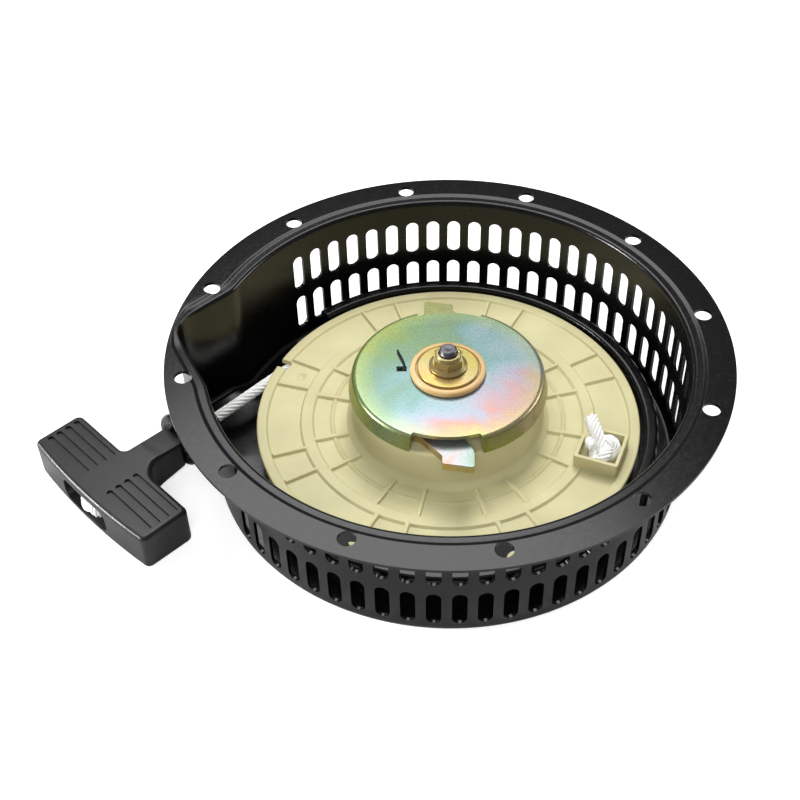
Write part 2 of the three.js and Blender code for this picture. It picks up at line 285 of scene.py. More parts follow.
def inset(outline, distance):
    made = []
    count = len(outline)
    for i in range(count):
        (ax, ay), (bx, by), (cx, cy) = outline[i - 1], outline[i], outline[(i + 1) % count]
        first = Vector((ay - by, bx - ax)).normalized()
        second = Vector((by - cy, cx - bx)).normalized()
        middle = (first + second).normalized()
        reach = distance / max(0.5, middle.dot(first))
        made.append((bx + middle.x * reach, by + middle.y * reach))
    return made


def softSlab(name, outline, low, high, radius, material, steps=5):
    if sum(ax * by - bx * ay for (ax, ay), (bx, by) in zip(outline, outline[1:] + outline[:1])) < 0:
        outline = outline[::-1]
    count = len(outline)
    arc = [math.radians(90 * k / steps) for k in range(steps + 1)]
    levels = [(radius * (1 - math.sin(t)), low + radius * (1 - math.cos(t))) for t in arc]
    levels += [(radius * (1 - math.cos(t)), high - radius * (1 - math.sin(t))) for t in arc]
    points, faces = [], []
    for distance, z in levels:
        points += [(x, y, z) for x, y in (inset(outline, distance) if distance > 1e-6 else outline)]
    for row in range(len(levels) - 1):
        for i in range(count):
            j = (i + 1) % count
            a, b = row * count, (row + 1) * count
            faces.append((a + i, a + j, b + j, b + i))
    last = (len(levels) - 1) * count
    faces += [tuple(reversed(range(count))), tuple(range(last, last + count))]
    return meshPiece(name, points, faces, material)


def box(name, low, high, material):
    (x0, y0, z0), (x1, y1, z1) = low, high
    return slab(name, [(x0, y0), (x1, y0), (x1, y1), (x0, y1)], z0, z1, material)


def rod(name, radius, start, end, material, sides=32):
    start, end = Vector(start), Vector(end)
    axis = (end - start).normalized()
    turn = Vector((0, 0, 1)).rotation_difference(axis)
    ring = [(radius * math.cos(2 * math.pi * i / sides), radius * math.sin(2 * math.pi * i / sides))
            for i in range(sides)]
    points = [start + turn @ Vector((x, y, 0)) for x, y in ring]
    points += [end + turn @ Vector((x, y, 0)) for x, y in ring]
    faces = [tuple(reversed(range(sides))), tuple(range(sides, 2 * sides))]
    faces += [(i, (i + 1) % sides, sides + (i + 1) % sides, sides + i) for i in range(sides)]
    return meshPiece(name, points, faces, material)


def turnedBy(obj, degrees, axis="Z"):
    obj.data.transform(Matrix.Rotation(math.radians(degrees), 4, axis))
    return obj


def movedBy(obj, *offset):
    obj.data.transform(Matrix.Translation(Vector(offset) * mm))
    return obj


def polar(angle, radius):
    return radius * math.cos(math.radians(angle)), radius * math.sin(math.radians(angle))


def smoothPath(points, step):
    count = len(points)
    dense = []
    for i in range(count - 1):
        p0 = Vector(points[max(i - 1, 0)])
        p1, p2 = Vector(points[i]), Vector(points[i + 1])
        p3 = Vector(points[min(i + 2, count - 1)])
        pieces = max(2, int((p2 - p1).length / step))
        for k in range(pieces):
            t = k / pieces
            dense.append(0.5 * (2 * p1 + (p2 - p0) * t + (2 * p0 - 5 * p1 + 4 * p2 - p3) * t * t
                                + (3 * p1 - p0 - 3 * p2 + p3) * t ** 3))
    dense.append(Vector(points[-1]))
    return dense


def frames(path):
    tangent = (path[1] - path[0]).normalized()
    side = tangent.orthogonal().normalized()
    made = []
    for i, point in enumerate(path):
        ahead = path[min(i + 1, len(path) - 1)] - path[max(i - 1, 0)]
        new = ahead.normalized()
        side = tangent.rotation_difference(new) @ side
        tangent = new
        made.append((point, side, tangent.cross(side)))
    return made


def tubeMesh(path, radius, sides):
    points, faces = [], []
    last = len(path) - 1
    for i, (point, side, up) in enumerate(frames(path)):
        for k in range(sides):
            theta = 2 * math.pi * k / sides
            points.append(point + (side * math.cos(theta) + up * math.sin(theta)) * radius)
        if i < last:
            for k in range(sides):
                a, b = i * sides + k, i * sides + (k + 1) % sides
                faces.append((a, b, b + sides, a + sides))
    faces.append(tuple(reversed(range(sides))))
    faces.append(tuple(last * sides + k for k in range(sides)))
    return points, faces


def wire(name, route, radius, material, step=0.8, sides=10):
    points, faces = tubeMesh(smoothPath(route, step), radius, sides)
    return meshPiece(name, points, faces, material, 60)


def laidRope(name, path, radius, material, strands=6, lay=24, sides=8):
    strand = radius * 1.7 / strands
    spread = radius - strand
    around = frames(path)
    travelled = [0.0]
    for a, b in zip(path, path[1:]):
        travelled.append(travelled[-1] + (b - a).length)
    points, faces = tubeMesh(path, radius - strand * 1.15, sides)
    for n in range(strands):
        helix = []
        for (point, side, up), distance in zip(around, travelled):
            theta = 2 * math.pi * (n / strands + distance / lay)
            helix.append(point + (side * math.cos(theta) + up * math.sin(theta)) * spread)
        made, ends = tubeMesh(helix, strand, sides)
        offset = len(points)
        points += made
        faces += [tuple(offset + i for i in face) for face in ends]
    return meshPiece(name, points, faces, material, 60)


def place(obj, body, slot, *replaced, crisp=True):
    if crisp:
        modifier = obj.modifiers.new("normals", "WEIGHTED_NORMAL")
        modifier.keep_sharp = True
    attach(obj, body)
    if replaced:
        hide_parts(*replaced)
    return obj


# Materials


def linear(r, g, b):
    return (*(((c / 255 + 0.055) / 1.055) ** 2.4 for c in (r, g, b)), 1)


def add(tree, kind, inputs=None, **settings):
    made = tree.nodes.new("ShaderNode" + kind)
    for key, value in settings.items():
        setattr(made, key, value)
    for key, value in (inputs or {}).items():
        if isinstance(value, bpy.types.NodeSocket):
            tree.links.new(value, made.inputs[key])
        else:
            made.inputs[key].default_value = value
    return made


def ranged(tree, value, low, high, first=0.0, last=1.0):
    return add(tree, "MapRange", {"Value": value, "From Min": low, "From Max": high,
                                  "To Min": first, "To Max": last})


def maths(tree, first, second, operation):
    return add(tree, "Math", {0: first, 1: second}, operation=operation)


def mixed(tree, factor, first, second):
    return add(tree, "Mix", {0: factor, 6: first, 7: second}, data_type="RGBA")


def newGroup(name, inputs, outputs):
    group = bpy.data.node_groups.new(name, "ShaderNodeTree")
    for label, kind, value in inputs:
        socket = group.interface.new_socket(name=label, in_out="INPUT", socket_type="NodeSocket" + kind)
        if value is not None:
            socket.default_value = value
    for label, kind in outputs:
        group.interface.new_socket(name=label, in_out="OUTPUT", socket_type="NodeSocket" + kind)
    return group, group.nodes.new("NodeGroupInput"), group.nodes.new("NodeGroupOutput")


def makeGrain():
    group, given, result = newGroup(
        "surfaceGrain",
        [("Vector", "Vector", None), ("Size mm", "Float", 1.0), ("First", "Color", (0, 0, 0, 1)),
         ("Second", "Color", (1, 1, 1, 1)), ("Smoothest", "Float", 0.3), ("Roughest", "Float", 0.5),
         ("Speck", "Color", (1, 1, 1, 1)), ("Specks", "Float", 0.0)],
        [("Color", "Color"), ("Roughness", "Float"), ("Height", "Float")])
    scale = maths(group, 1000.0, given.outputs["Size mm"], "DIVIDE")
    where = given.outputs["Vector"]
    fine = add(group, "TexNoise", {"Vector": where, "Scale": scale.outputs[0], "Detail": 3.0})
    broad = maths(group, scale.outputs[0], 0.06, "MULTIPLY")
    cloud = add(group, "TexNoise", {"Vector": where, "Scale": broad.outputs[0], "Detail": 4.0})
    spread = ranged(group, cloud.outputs["Fac"], 0.35, 0.65)
    tone = mixed(group, spread.outputs[0], given.outputs["First"], given.outputs["Second"])
    dots = add(group, "TexNoise", {"Vector": where, "Scale": scale.outputs[0], "Detail": 1.0})
    sparse = ranged(group, dots.outputs["Fac"], 0.68, 0.76)
    amount = maths(group, sparse.outputs[0], given.outputs["Specks"], "MULTIPLY")
    spotted = mixed(group, amount.outputs[0], tone.outputs[2], given.outputs["Speck"])
    rough = ranged(group, fine.outputs["Fac"], 0.3, 0.7,
                   given.outputs["Smoothest"], given.outputs["Roughest"])
    group.links.new(spotted.outputs[2], result.inputs["Color"])
    group.links.new(rough.outputs[0], result.inputs["Roughness"])
    group.links.new(fine.outputs["Fac"], result.inputs["Height"])
    return group


plating = {
    "tints": [  # place along the sweep, colour
        (0.00, (156, 170, 92)), (0.14, (140, 168, 122)), (0.34, (136, 166, 148)), (0.50, (142, 178, 176)),
        (0.63, (168, 188, 198)), (0.75, (188, 182, 196)), (0.87, (212, 160, 152)), (1.00, (206, 184, 140)),
    ],
    "edge": (196, 212, 136),
    "skirt": (178, 184, 92),
    "deep": (226, 200, 112),
    "grainSize": 0.36,
    "grainShade": (0.5, 0.88),
}


def makePlating():
    group, given, result = newGroup(
        "platedSweep",
        [("Vector", "Vector", None), ("Turn", "Float", 0.0), ("Reach mm", "Float", 44.0),
         ("Blotches mm", "Float", 30.0), ("Gold", "Float", 0.0), ("Rim tint", "Float", 0.0),
         ("Gold below mm", "Float", 0.0)],
        [("Color", "Color"), ("Roughness", "Float"), ("Height", "Float")])
    where = given.outputs["Vector"]
    split = add(group, "SeparateXYZ", {0: where})
    turn = add(group, "VectorRotate", {"Vector": where, "Angle": given.outputs["Turn"]},
               rotation_type="Z_AXIS")
    along = add(group, "SeparateXYZ", {0: turn.outputs[0]})
    reach = maths(group, given.outputs["Reach mm"], 0.001, "MULTIPLY")
    share = maths(group, along.outputs["X"], reach.outputs[0], "DIVIDE")
    scale = maths(group, 1000.0, given.outputs["Blotches mm"], "DIVIDE")
    blotch = add(group, "TexNoise", {"Vector": where, "Scale": scale.outputs[0], "Detail": 2.0,
                                     "Distortion": 0.6})
    grain = add(group, "TexNoise", {"Vector": where, "Scale": 1000 / plating["grainSize"], "Detail": 2.0,
                                    "Roughness": 0.85})
    first = ranged(group, share.outputs[0], -1.0, 1.0)
    shifted = ranged(group, blotch.outputs["Fac"], 0.25, 0.75, -0.22, 0.22)
    speckle = ranged(group, grain.outputs["Fac"], 0.3, 0.7, -0.07, 0.07)
    total = maths(group, first.outputs[0], shifted.outputs[0], "ADD")
    total = maths(group, total.outputs[0], speckle.outputs[0], "ADD")
    ramp = add(group, "ValToRGB", {"Fac": total.outputs[0]})
    tints = plating["tints"]
    while len(ramp.color_ramp.elements) < len(tints):
        ramp.color_ramp.elements.new(0.5)
    for element, (position, colour) in zip(ramp.color_ramp.elements, tints):
        element.position = position
        element.color = linear(*colour)
    radius = add(group, "CombineXYZ", {"X": split.outputs["X"], "Y": split.outputs["Y"]})
    far = add(group, "VectorMath", {0: radius.outputs[0]}, operation="LENGTH")
    rim = ranged(group, far.outputs["Value"], 0.034, 0.0435)
    rimmed = maths(group, rim.outputs[0], blotch.outputs["Fac"], "MULTIPLY")
    rimmed = maths(group, rimmed.outputs[0], given.outputs["Rim tint"], "MULTIPLY")
    edged = mixed(group, rimmed.outputs[0], ramp.outputs["Color"], linear(*plating["edge"]))
    side = ranged(group, far.outputs["Value"], 0.0441, 0.0449)
    patches = ranged(group, blotch.outputs["Fac"], 0.3, 0.6)
    sided = maths(group, side.outputs[0], patches.outputs[0], "MULTIPLY")
    sided = maths(group, sided.outputs[0], given.outputs["Rim tint"], "MULTIPLY")
    edged = mixed(group, sided.outputs[0], edged.outputs[2], linear(*plating["skirt"]))
    low, high = plating["grainShade"]
    shade = ranged(group, grain.outputs["Fac"], 0.3, 0.7, low, high)
    level = maths(group, given.outputs["Gold below mm"], 0.001, "MULTIPLY")
    depth = maths(group, level.outputs[0], split.outputs["Z"], "SUBTRACT")
    lower = ranged(group, depth.outputs[0], 0.0, 0.0004, last=0.75)
    amount = maths(group, given.outputs["Gold"], lower.outputs[0], "MAXIMUM")
    gold = mixed(group, amount.outputs[0], edged.outputs[2], linear(*plating["deep"]))
    shaded = add(group, "VectorMath", {0: gold.outputs[2], 3: shade.outputs[0]}, operation="SCALE")
    rough = ranged(group, grain.outputs["Fac"], 0.3, 0.7, 0.24, 0.38)
    group.links.new(shaded.outputs[0], result.inputs["Color"])
    group.links.new(rough.outputs[0], result.inputs["Roughness"])
    group.links.new(grain.outputs["Fac"], result.inputs["Height"])
    return group


grainGroup = makeGrain()
platingGroup = makePlating()


def surface(name, group, values, shader, bump):
    material = bpy.data.materials.new(name)
    material.use_nodes = True
    tree = material.node_tree
    principled = tree.nodes["Principled BSDF"]
    coordinates = add(tree, "TexCoord")
    effect = tree.nodes.new("ShaderNodeGroup")
    effect.node_tree = group
    tree.links.new(coordinates.outputs["Object"], effect.inputs["Vector"])
    for key, value in values.items():
        effect.inputs[key].default_value = value
    tree.links.new(effect.outputs["Color"], principled.inputs["Base Color"])
    tree.links.new(effect.outputs["Roughness"], principled.inputs["Roughness"])
    for key, value in shader.items():
        principled.inputs[key].default_value = value
    strength, distance = bump
    relief = add(tree, "Bump", {"Height": effect.outputs["Height"], "Strength": strength,
                                "Distance": distance * mm})
    tree.links.new(relief.outputs["Normal"], principled.inputs["Normal"])
    return material


def grainy(name, size, first, second, rough, shader=None, bump=(0.2, 0.05), specks=0.0,
           speck=(255, 255, 255)):
    values = {"Size mm": size, "First": linear(*first), "Second": linear(*second), "Smoothest": rough[0],
              "Roughest": rough[1], "Specks": specks, "Speck": linear(*speck)}
    return surface(name, grainGroup, values, shader or {}, bump)


def plated(name, turn, reach=44.0, blotches=30.0, gold=0.0, rim=0.0, below=0.0):
    values = {"Turn": math.radians(turn), "Reach mm": reach, "Blotches mm": blotches, "Gold": gold,
              "Rim tint": rim, "Gold below mm": below}
    return surface(name, platingGroup, values, {"Metallic": 0.8}, (0.3, 0.05))


blackPaint = grainy("blackPaint", 1.6, (5, 5, 6), (8, 8, 10), (0.17, 0.24),
                    {"Specular IOR Level": 0.38}, bump=(0.05, 0.06), specks=0.05, speck=(120, 120, 125))
glossNylon = grainy("glossNylon", 2.5, (20, 20, 22), (28, 28, 31), (0.16, 0.26), bump=(0.15, 0.08))
ivoryPlastic = grainy("ivoryPlastic", 1.2, (193, 186, 143), (200, 194, 150), (0.42, 0.55),
                      {"Subsurface Weight": 0.06, "Subsurface Scale": 0.004}, bump=(0.12, 0.05))
steel = grainy("turnedSteel", 0.8, (120, 118, 122), (150, 148, 152), (0.28, 0.42), {"Metallic": 1.0})
studSteel = grainy("studSteel", 0.7, (86, 84, 89), (114, 112, 117), (0.34, 0.5), {"Metallic": 0.9})
darkSteel = grainy("darkSpringSteel", 1.0, (32, 34, 38), (48, 50, 56), (0.3, 0.45), {"Metallic": 0.8})
sintered = grainy("sinteredBronze", 0.7, (150, 112, 62), (176, 136, 82), (0.4, 0.55), {"Metallic": 0.9})
amberNylon = grainy("amberNylon", 1.5, (188, 152, 98), (202, 170, 120), (0.3, 0.42),
                    {"Subsurface Weight": 0.1, "Subsurface Scale": 0.003}, bump=(0.1, 0.05))
whiteRope = grainy("whiteRope", 0.35, (240, 240, 237), (250, 250, 248), (0.55, 0.75),
                   {"Sheen Weight": 0.3}, bump=(0.5, 0.12))
gripPlastic = grainy("gripPlastic", 0.6, (24, 24, 26), (30, 30, 32), (0.3, 0.42), bump=(0.25, 0.06))
cupPlating = plated("cupPlating", 45, rim=1.0)
frontPawlPlating = plated("frontPawlPlating", 174, 18, 16, 0.15, below=44.1)
rearPawlPlating = plated("rearPawlPlating", 20, 26, 16, 0.35, below=44.1)
nutPlating = plated("nutPlating", 120, 12, 7, 0.75)
print("materials")


# Housing

housing = {
    "flange": 130.0,
    "top": 66.0,
    "wall": 111.0,  # inside
    "sheet": 1.5,
    "corner": 3.0,  # inside rounding where the floor meets the wall
    "slotsPerRow": 50,
    "slotPitch": 5.67,  # degrees
    "firstSlot": 131.3,
    "slot": (6.5, 20.0),
    "slotHeights": (17.0, 43.0),
    "rowEdges": (4.5, 30.0, 56.5),
    "pocket": ((-81.8, 63.2), (-121, 27, 6), (-125.5, 20.5, 5), (-126.3, 14.5, 5), (-104.5, -30.5, 9),
               (-84, -50)),
    "pocketFloor": 4.0,  # how far the pocket's floor is raised
    "holes": 12,
    "holeCircle": 121.35,
    "firstHole": 98.0,
    "holeRadius": 4.0,
    "stepDown": 0.8,
    # radius and rise of the floor's rings
    "floor": ((14, 0), (30, 0), (50, 0), (54, 0), (57, 1.1), (63, 1.1), (66, 0), (90, 0), (103, 0)),
    "floorEdge": 107.5,
    "ropeHole": 9.8,
}
guard = {
    "profile": ((94, 1.8), (101, 1.8), (101, 22, 2.2), (94, 22, 2.2)),
    "from": 129.0,
    "sweep": 279.0,
    "steps": 150,
}
pull = {
    "angle": 223.05,
    "turnRadius": 83.6,
    "guideHeight": 14.6,
    "reelHeight": 15.4,
    "handleHeight": 12.6,
    "levelUntil": 40.0,
}


def onPull(distance, height, side=0.0):
    fx, fy = polar(pull["angle"] - 90, pull["turnRadius"])
    ax, ay = polar(pull["angle"], 1)
    return fx + distance * ax - side * ay, fy + distance * ay + side * ax, height


def alongPull(obj, height=0.0):
    return movedBy(turnedBy(obj, pull["angle"]), *onPull(0, height))


def wallRadii(angles):
    outline = rounded(list(housing["pocket"]), 5, closed=False)
    made = []
    for angle in angles:
        dx, dy = polar(angle, 1)
        radius = housing["wall"]
        for (x0, y0), (x1, y1) in zip(outline, outline[1:]):
            ex, ey = x1 - x0, y1 - y0
            cross = dx * ey - dy * ex
            if abs(cross) < 1e-9:
                continue
            reach = (x0 * ey - y0 * ex) / cross
            share = (x0 * dy - y0 * dx) / cross
            if -1e-6 <= share <= 1 + 1e-6 and reach > radius:
                radius = reach
        made.append(radius)
    for _ in range(2):
        middle = [(a + 2 * b + c) / 4 for a, b, c in zip(made, made[1:], made[2:])]
        made = [made[0], *middle, made[-1]]
    return made


def slotRing(across, up, middle, bottom, top, centre):
    wide, tall = housing["slot"]
    wall, half, straight = housing["wall"], wide / 2, tall / 2 - wide / 2
    reach = housing["slotPitch"] / 2
    loop, hole = [], []
    for upper in (True, False):
        start, edge, side = (0, top, -1) if upper else (180, bottom, 1)
        for k in range(across):
            theta = math.radians(start + 180 * k / across)
            loop.append((-side * reach * (1 - 2 * k / across), edge))
            hole.append((half * math.cos(theta), centre - side * straight + half * math.sin(theta)))
        for k in range(up):
            loop.append((side * reach, edge + (top + bottom - 2 * edge) * k / up))
            hole.append((side * half, centre - side * straight * (1 - 2 * k / up)))
    outside = [(*polar(middle + turn, wall), z) for turn, z in loop]
    return outside + [(*polar(middle + math.degrees(x / wall), wall), z) for x, z in hole]


def makeHousing():
    pitch, slots = housing["slotPitch"], housing["slotsPerRow"]
    sheet, corner, plainWall = housing["sheet"], housing["corner"], housing["wall"]
    across, up, blank = 8, 4, 72
    slotted = slots * across
    start = housing["firstSlot"] + pitch / 2
    columns = [start - pitch * k / across for k in range(slotted + 1)]
    gapAngle = 360 - slots * pitch
    columns += [columns[-1] - gapAngle * (k + 1) / blank for k in range(blank - 1)]
    radii = [plainWall] * slotted + wallRadii(columns[slotted:] + [columns[0] - 360])[:-1]
    total = len(columns)
    points, faces = [], []

    def ringAt(profile):
        first = len(points)
        for angle, wall in zip(columns, radii):
            radius, z = profile(wall)
            points.append((*polar(angle, radius), z))
        return first

    def strip(a, b, begin=0):
        for i in range(begin, total):
            j = (i + 1) % total
            faces.append((a + i, a + j, b + j, b + i))

    def floorAt(wall):
        return sheet + min(1, max(0, (wall - plainWall) / 5)) * housing["pocketFloor"]

    rings = [ringAt(lambda wall: (radius, sheet + rise)) for radius, rise in housing["floor"]]
    rings.append(ringAt(lambda wall: (max(housing["floorEdge"], wall - corner * 1.6), floorAt(wall))))
    for step in range(6):
        theta = math.radians(90 * step / 5)
        rings.append(ringAt(lambda wall: (wall - corner + corner * math.sin(theta),
                                          floorAt(wall) + corner * (1 - math.cos(theta)))))
    for a, b in zip(rings, rings[1:]):
        strip(a, b)
    faces.append(tuple(range(rings[0], rings[0] + total)))

    low = rings[-1]
    edges = housing["rowEdges"]
    for bottom, top in zip(edges, edges[1:]):
        for step in range(up):
            z = bottom + (top - bottom) * (step + 1) / up
            high = ringAt(lambda wall: (wall, max(z, floorAt(wall) + corner + 0.4)))
            strip(low, high, slotted)
            low = high
    for centre, bottom, top in zip(housing["slotHeights"], edges, edges[1:]):
        for cell in range(slots):
            first = len(points)
            points += slotRing(across, up, housing["firstSlot"] - pitch * cell, bottom, top, centre)
            count = 2 * (across + up)
            for k in range(count):
                n = (k + 1) % count
                faces.append((first + k, first + n, first + count + n, first + count + k))

    # The step round the mouth narrows to nothing where the pocket meets the flange's edge.
    top, reach, drop = housing["top"], housing["flange"], housing["stepDown"]

    def fit(wall):
        return min(1, (reach - wall) / 8.5)

    rows = [lambda wall: (wall, top - 3.6)]
    for k in range(6):
        theta = math.radians(90 * k / 5)
        rows.append(lambda wall, t=theta: (wall + 2 * fit(wall) * (1 - math.cos(t)),
                                           top - drop * fit(wall) - 2 * fit(wall) * (1 - math.sin(t))))
    for out, share in ((4.4, 1), (5.0, 0.8), (6.0, 0.2), (6.6, 0)):
        rows.append(lambda wall, out=out, share=share: (wall + out * fit(wall),
                                                        top - drop * fit(wall) * share))
    rows.append(lambda wall: (wall + (reach - wall) * 0.93, top))
    rows.append(lambda wall: (reach, top))
    for profile in rows:
        high = ringAt(profile)
        strip(low, high)
        low = high
    shell = meshPiece("housingShell", points, faces, blackPaint, 40)
    bm = bmesh.new()
    bm.from_mesh(shell.data)
    floorFace = min(bm.faces, key=lambda face: face.calc_center_median().length)
    if floorFace.normal.z < 0:
        bmesh.ops.reverse_faces(bm, faces=bm.faces)
    bm.to_mesh(shell.data)
    bm.free()
    thick = shell.modifiers.new("thick", "SOLIDIFY")
    thick.thickness = sheet * mm
    thick.offset = -1
    thick.use_even_offset = False
    applied(shell, 40)
    cutters = []
    for k in range(housing["holes"]):
        x, y = polar(housing["firstHole"] + 360 * k / housing["holes"], housing["holeCircle"])
        cutters.append(rod("hole", housing["holeRadius"], (x, y, 60), (x, y, 70), blackPaint, 40))
    outlet = rod("outlet", housing["ropeHole"], (70, 0, 0), (100, 0, 0), blackPaint, 48)
    cutters.append(alongPull(outlet, pull["guideHeight"]))
    cut(shell, *cutters)
    bevelled(shell, 0.3, limit=55, angle=40)
    place(shell, "housing", "black_paint", "housing_shell")


def makeGuard():
    section = rounded(guard["profile"], 5)
    count, steps = len(section), guard["steps"]
    points, faces = [], []
    for k in range(steps + 1):
        angle = guard["from"] - guard["sweep"] * k / steps
        points += [(*polar(angle, r), z) for r, z in section]
    for k in range(steps):
        for i in range(count):
            j = (i + 1) % count
            a, b = k * count, (k + 1) * count
            faces.append((a + i, a + j, b + j, b + i))
    faces += [tuple(range(count)), tuple(steps * count + i for i in reversed(range(count)))]
    ring = meshPiece("ropeGuard", points, faces, blackPaint)
    bevelled(ring, 0.8, segments=3, limit=60)
    place(ring, "housing", "black_paint", "rope_guard")


makeHousing()
makeGuard()
print("housing and guard")


# Bushing, rope and knots

bushing = {
    # radius, distance along the pull, rounding
    "profile": ((5.4, 80, 1), (9.5, 80, 1), (9.5, 96.6), (13.2, 96.9, 1.2), (14.1, 98.6, 2), (13.4, 101, 1.6),
                (10.2, 101, 1.2), (7.4, 99.2, 2), (5.4, 95.5)),
}


def makeBushing():
    body = lathe("ropeBushing", bushing["profile"], glossNylon, 96)
    alongPull(turnedBy(body, 90, "Y"), pull["guideHeight"])
    place(body, "housing", "black_nylon", "rope_bushing")


rope = {
    "radius": 2.75,
    "strands": 7,
    "lay": 24.0,
    "step": 1.2,
    "leadEnd": 105.4,
    "stemLength": 28,
    "woundFrom": 73.2,
    "woundTurns": 2.43,
    "windingRadius": 2.1,
}
knots = {
    "handle": {"scale": 1.9, "flat": 2.6, "radius": 2.9, "lay": 14,
               "turn": 20, "distance": 149.4, "height": 11},
    "reel": {"scale": 2.0, "flat": 2.4, "radius": 3.0, "lay": 12,
             "tilt": 15, "share": 0.93, "place": (76.3, 0, 24.6), "turn": -22.5},
    "tail": {"route": ((1, -1, 1), (-2.5, 2.5, 4.2), (-6, 6.5, 6.4), (-9, 11, 7.4)),
             "radius": 3.3, "lay": 16},
}


def ropeHeight(distance):
    drop = max(0, distance - pull["levelUntil"]) / (rope["leadEnd"] - pull["levelUntil"])
    return pull["reelHeight"] + (pull["handleHeight"] - pull["reelHeight"]) * min(1, drop)


def makeRope():
    end, strands, lay = rope["leadEnd"], rope["strands"], rope["lay"]
    distances = [k * rope["step"] for k in range(int(end / rope["step"]) + 1)] + [end]
    straight = [Vector(onPull(d, ropeHeight(d))) for d in distances]
    lead = laidRope("ropeLead", straight, rope["radius"], whiteRope, strands, lay)
    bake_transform(lead)
    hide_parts("rope_lead")
    inside = [Vector(onPull(end + 0.2 + k, pull["handleHeight"])) for k in range(rope["stemLength"] + 1)]
    stem = laidRope("ropeInHandle", inside, rope["radius"] - 0.1, whiteRope, strands, lay)
    place(stem, "handle", "rope_fibre", "rope_in_handle", crisp=False)
    wound = []
    steps = 900
    for k in range(steps + 1):
        angle = pull["angle"] - 90 - 360 * rope["woundTurns"] * (1 - k / steps)
        radius = rope["woundFrom"] + (pull["turnRadius"] - rope["woundFrom"]) * k / steps
        wound.append(Vector((*polar(angle, radius), pull["reelHeight"])))
    coil = laidRope("ropeWinding", wound, rope["windingRadius"], whiteRope, 5, lay, 6)
    place(coil, "reel", "rope_fibre", "rope_winding", crisp=False)


def tied(name, shape, steps=110):
    path = []
    for k in range(steps + 1):
        t = 2 * math.pi * shape.get("share", 1) * k / steps
        path.append(Vector(((math.sin(t) + 2 * math.sin(2 * t)) * shape["scale"],
                            (math.cos(t) - 2 * math.cos(2 * t)) * shape["scale"],
                            -math.sin(3 * t) * shape["flat"])))
    return laidRope(name, path, shape["radius"], whiteRope, rope["strands"], shape["lay"], 7)


def makeKnots():
    shape = knots["handle"]
    knot = turnedBy(turnedBy(tied("handleKnotRope", shape), shape["turn"]), 90, "Y")
    alongPull(movedBy(knot, shape["distance"], 0, 0), shape["height"])
    place(knot, "handle", "rope_fibre", "handle_knot", crisp=False)
    shape, tail = knots["reel"], knots["tail"]
    tie = turnedBy(tied("reelKnotRope", shape), shape["tilt"], "X")
    loose = laidRope("reelKnotTail", smoothPath(tail["route"], 0.7), tail["radius"], whiteRope,
                     rope["strands"], tail["lay"], 7)
    both = joined("reelKnotRope", [tie, loose], whiteRope)
    turnedBy(movedBy(both, *shape["place"]), shape["turn"])
    smoothed(both, 60)
    place(both, "reel", "rope_fibre", "reel_knot", crisp=False)


makeBushing()
makeRope()
makeKnots()
print("rope, knots and bushing")


# Reel

reel = {
    "web": 19.6,
    "rib": 1.5,  # rise of the ribs and rings over the web
    "ribWidth": 2.0,
    "innerRibs": (-167.3, -149.3),
    "outerRibs": (-164.0, -152.0),
    "innerReach": (45.0, 66.0),
    "outerReach": (70.0, 88.0),
    "rings": ((55.75, 1.5, 0.9), (68.0, 6.0, 1.2)),  # radius, width, rise
    "dimple": (157.0, 78.0, 3.2, 1.2),  # angle, radius, size, depth
    "columns": 1440,
    "box": {"angle": -22.5, "near": 65.5, "far": 86.5, "half": 11.0, "top": 27.5, "wall": 1.8},
    "notch": {"angle": 154.5, "low": (86.5, -2.75, 18.0), "high": (94, 2.75, 23)},
    # radius, height, rounding: from the bore round the underside to the rim, then from the web up to the bore
    "underside": ((9, 45.3), (9, 4.8), (15, 4.8), (15, 37), (42.5, 37), (42.5, 16), (66, 16), (66, 4.8),
                  (69.5, 4.8), (69.5, 9.8, 0.5), (91, 9.8, 0.8), (91, 12.4, 0.6), (70, 12.4), (70, 18.3),
                  (92.2, 18.3, 0.5), (92.2, 21, 0.9), (87.4, 21, 0.7), (87.0, 19.8)),
    "boss": ((48.6, 19.6), (45.9, 22.6, 3), (45.6, 40, 1.2), (12.5, 40), (12.5, 45.3, 0.4), (9, 45.3)),
}


def rise(offset, halfWidth, soft=0.35):
    share = min(1, max(0, (halfWidth + soft / 2 - abs(offset)) / soft))
    return share * share * (3 - 2 * share)


def reelRelief(angle, radius):
    height = 0.0
    for ringRadius, width, lift in reel["rings"]:
        height = max(height, lift * rise(radius - ringRadius, width / 2))
    inner, outer = (reel["innerRibs"], reel["innerReach"]), (reel["outerRibs"], reel["outerReach"])
    for ribs, (near, far) in (inner, outer):
        if near <= radius <= far:
            for rib in ribs:
                turn = (angle - rib + 22.5) % 45 - 22.5
                offset = radius * math.sin(math.radians(turn))
                if abs(offset) < 2:
                    height = max(height, reel["rib"] * rise(offset, reel["ribWidth"] / 2))
    dimpleAngle, dimpleRadius, size, depth = reel["dimple"]
    x, y = polar(angle - dimpleAngle, radius)
    distance = math.hypot(x - dimpleRadius, y)
    if distance < size:
        height -= depth * math.cos(distance / size * math.pi / 2) ** 2
    return height


